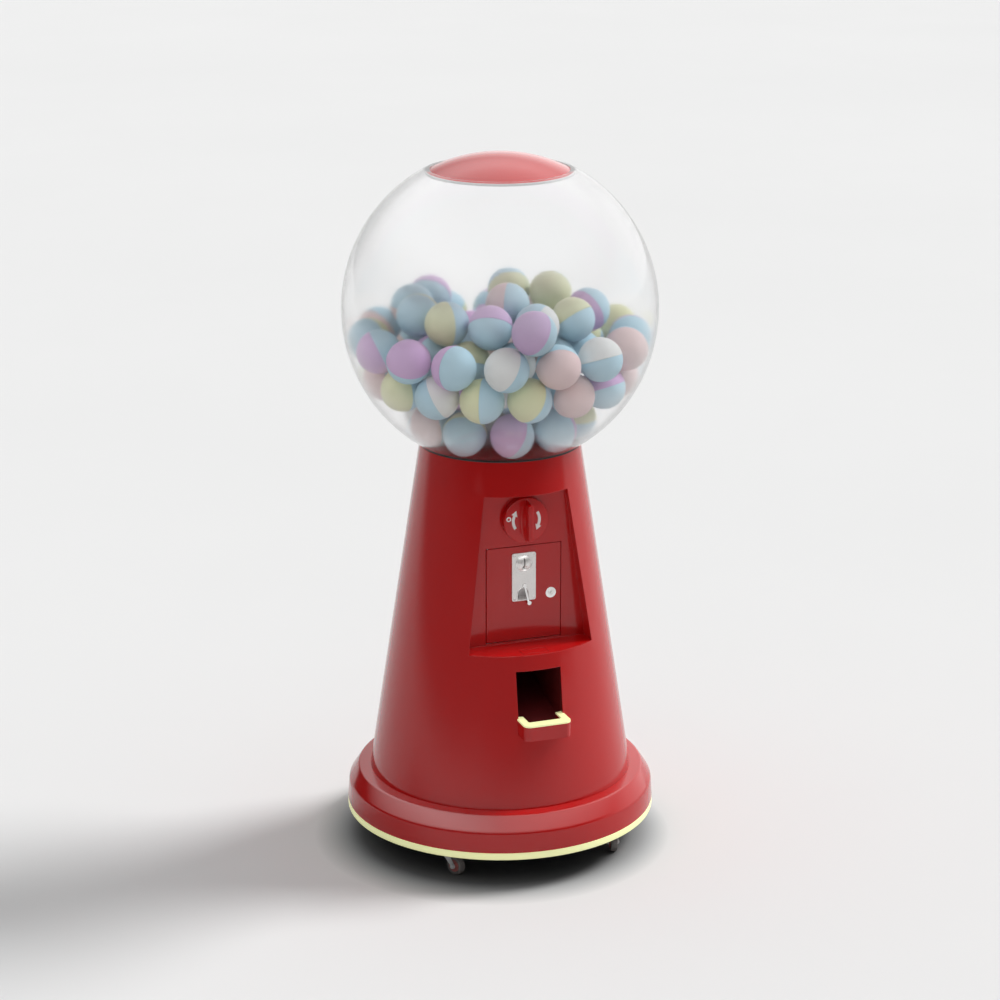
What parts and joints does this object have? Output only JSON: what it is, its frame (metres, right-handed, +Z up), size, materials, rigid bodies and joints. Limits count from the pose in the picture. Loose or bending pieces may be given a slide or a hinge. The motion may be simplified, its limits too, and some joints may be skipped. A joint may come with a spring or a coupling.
{
  "type": "gumball machine",
  "caption": "Floor-standing globe vending machine that drops a two-tone capsule down a chute when its knob is turned.",
  "frame": {"origin": "on the floor, on the machine's upright axis, centre of the round base", "axes": "+Z up along the machine's axis, -Y out of the recess with the knob and the coin plate, +X to the right of someone facing it"},
  "size_m": [0.804, 0.804, 1.804],
  "materials": {
    "base_plate": "satin",
    "base_light": "diffusing",
    "base_flange": "gloss",
    "cone_housing": "gloss",
    "recess_liner": "gloss",
    "shelf_hatch": "gloss",
    "seat_ring": "gloss",
    "globe_seals": "matte",
    "globe": "clear",
    "hopper": "satin",
    "outlet_guard": "brushed",
    "shaft_bearings": "satin",
    "drop_tube": "satin",
    "chute": "satin",
    "tray": "gloss",
    "tray_light": "diffusing",
    "cash_box": "brushed",
    "cash_shelf": "satin",
    "door_hinge": "satin",
    "caster_plates": "zinc plated",
    "caster_bolts": "zinc plated",
    "housing_screws": "zinc plated",
    "power_inlet": "satin",
    "light_supply": "satin",
    "capsules_blue": "matte",
    "capsules_magenta": "matte",
    "capsules_yellow": "matte",
    "capsules_white": "matte",
    "capsules_peach": "matte",
    "knob": "gloss",
    "knob_marks": "printed",
    "knob_shaft": "turned",
    "knob_gear": "machined",
    "dispensing_wheel": "satin",
    "wheel_shaft": "turned",
    "wheel_gear": "machined",
    "wheel_nut": "satin",
    "door": "gloss",
    "coin_plate": "satin nickel",
    "plate_screws": "satin",
    "coin_mech": "cast",
    "return_cup": "satin",
    "lock_body": "polished",
    "lock_plug": "polished",
    "return_lever": "satin",
    "lid": "gloss",
    "caster_fork_fl": "zinc plated",
    "caster_hub_fl": "satin",
    "caster_tyre_fl": "matte",
    "caster_fork_fr": "zinc plated",
    "caster_hub_fr": "satin",
    "caster_tyre_fr": "matte",
    "caster_fork_bl": "zinc plated",
    "caster_hub_bl": "satin",
    "caster_tyre_bl": "matte",
    "caster_fork_br": "zinc plated",
    "caster_hub_br": "satin",
    "caster_tyre_br": "matte"
  },
  "bodies": {
    "machine": {"base_plate": "base_plate", "base_light": "base_light", "base_flange": "base_flange", "cone_housing": "cone_housing", "recess_liner": "recess_liner", "shelf_hatch": "shelf_hatch", "seat_ring": "seat_ring", "globe_seals": "globe_seals", "globe": "globe", "hopper": "hopper", "outlet_guard": "outlet_guard", "shaft_bearings": "shaft_bearings", "drop_tube": "drop_tube", "chute": "chute", "tray": "tray", "tray_light": "tray_light", "cash_box": "cash_box", "cash_shelf": "cash_shelf", "door_hinge": "door_hinge", "caster_plates": "caster_plates", "caster_bolts": "caster_bolts", "housing_screws": "housing_screws", "power_inlet": "power_inlet", "light_supply": "light_supply", "capsules_blue": "capsules_blue", "capsules_magenta": "capsules_magenta", "capsules_yellow": "capsules_yellow", "capsules_white": "capsules_white", "capsules_peach": "capsules_peach"},
    "knob": {"knob": "knob", "knob_marks": "knob_marks", "knob_shaft": "knob_shaft", "knob_gear": "knob_gear"},
    "wheel": {"dispensing_wheel": "dispensing_wheel", "wheel_shaft": "wheel_shaft", "wheel_gear": "wheel_gear", "wheel_nut": "wheel_nut"},
    "door": {"door": "door", "coin_plate": "coin_plate", "plate_screws": "plate_screws", "coin_mech": "coin_mech", "return_cup": "return_cup", "lock_body": "lock_body"},
    "lock": {"lock_plug": "lock_plug"},
    "lever": {"return_lever": "return_lever"},
    "lid": {"lid": "lid"},
    "fork_fl": {"caster_fork_fl": "caster_fork_fl"},
    "wheel_fl": {"caster_hub_fl": "caster_hub_fl", "caster_tyre_fl": "caster_tyre_fl"},
    "fork_fr": {"caster_fork_fr": "caster_fork_fr"},
    "wheel_fr": {"caster_hub_fr": "caster_hub_fr", "caster_tyre_fr": "caster_tyre_fr"},
    "fork_bl": {"caster_fork_bl": "caster_fork_bl"},
    "wheel_bl": {"caster_hub_bl": "caster_hub_bl", "caster_tyre_bl": "caster_tyre_bl"},
    "fork_br": {"caster_fork_br": "caster_fork_br"},
    "wheel_br": {"caster_hub_br": "caster_hub_br", "caster_tyre_br": "caster_tyre_br"}
  },
  "joints": [
    {"name": "knob_turn", "type": "hinge", "parent": "machine", "child": "knob", "pos_m": [0, 0, 0.907], "axis": [0, 1, 0], "continuous": true},
    {"name": "wheel_turn", "type": "hinge", "parent": "machine", "child": "wheel", "pos_m": [0, 0, 0.907], "axis": [0, 0, 1], "continuous": true},
    {"name": "door_swing", "type": "hinge", "parent": "machine", "child": "door", "pos_m": [-0.097, -0.171, 0.71], "axis": [0, 0, -1], "range_deg": [0, 110]},
    {"name": "lock_turn", "type": "hinge", "parent": "door", "child": "lock", "pos_m": [0.073, -0.17, 0.703], "axis": [0, -1, 0], "range_deg": [0, 90]},
    {"name": "lever_press", "type": "hinge", "parent": "door", "child": "lever", "pos_m": [0.001, -0.178, 0.73], "axis": [0, 1, 0], "range_deg": [0, 25], "stiffness_Nm_per_rad": 0.05, "springref_deg": -17.19},
    {"name": "lid_lift", "type": "slide", "parent": "machine", "child": "lid", "axis": [0, 0, 1], "range_m": [0, 0.15]},
    {"name": "swivel_fl", "type": "hinge", "parent": "machine", "child": "fork_fl", "pos_m": [-0.22557, -0.22557, 0.06], "axis": [0, 0, 1], "continuous": true},
    {"name": "roll_fl", "type": "hinge", "parent": "fork_fl", "child": "wheel_fl", "pos_m": [-0.21195, -0.2523, 0.025], "axis": [0.891, 0.454, 0], "continuous": true},
    {"name": "swivel_fr", "type": "hinge", "parent": "machine", "child": "fork_fr", "pos_m": [0.22557, -0.22557, 0.06], "axis": [0, 0, 1], "continuous": true},
    {"name": "roll_fr", "type": "hinge", "parent": "fork_fr", "child": "wheel_fr", "pos_m": [0.21984, -0.25502, 0.025], "axis": [0.9816, -0.1908, 0], "continuous": true},
    {"name": "swivel_bl", "type": "hinge", "parent": "machine", "child": "fork_bl", "pos_m": [-0.22557, 0.22557, 0.06], "axis": [0, 0, 1], "continuous": true},
    {"name": "roll_bl", "type": "hinge", "parent": "fork_bl", "child": "wheel_bl", "pos_m": [-0.25376, 0.21531, 0.025], "axis": [0.342, -0.9397, 0], "continuous": true},
    {"name": "swivel_br", "type": "hinge", "parent": "machine", "child": "fork_br", "pos_m": [0.22557, 0.22557, 0.06], "axis": [0, 0, 1], "continuous": true},
    {"name": "roll_br", "type": "hinge", "parent": "fork_br", "child": "wheel_br", "pos_m": [0.25376, 0.21531, 0.025], "axis": [0.342, 0.9397, 0], "continuous": true}
  ],
  "couplings": [
    {"joint": "knob_turn", "follows": "wheel_turn", "ratio": 1}
  ]
}
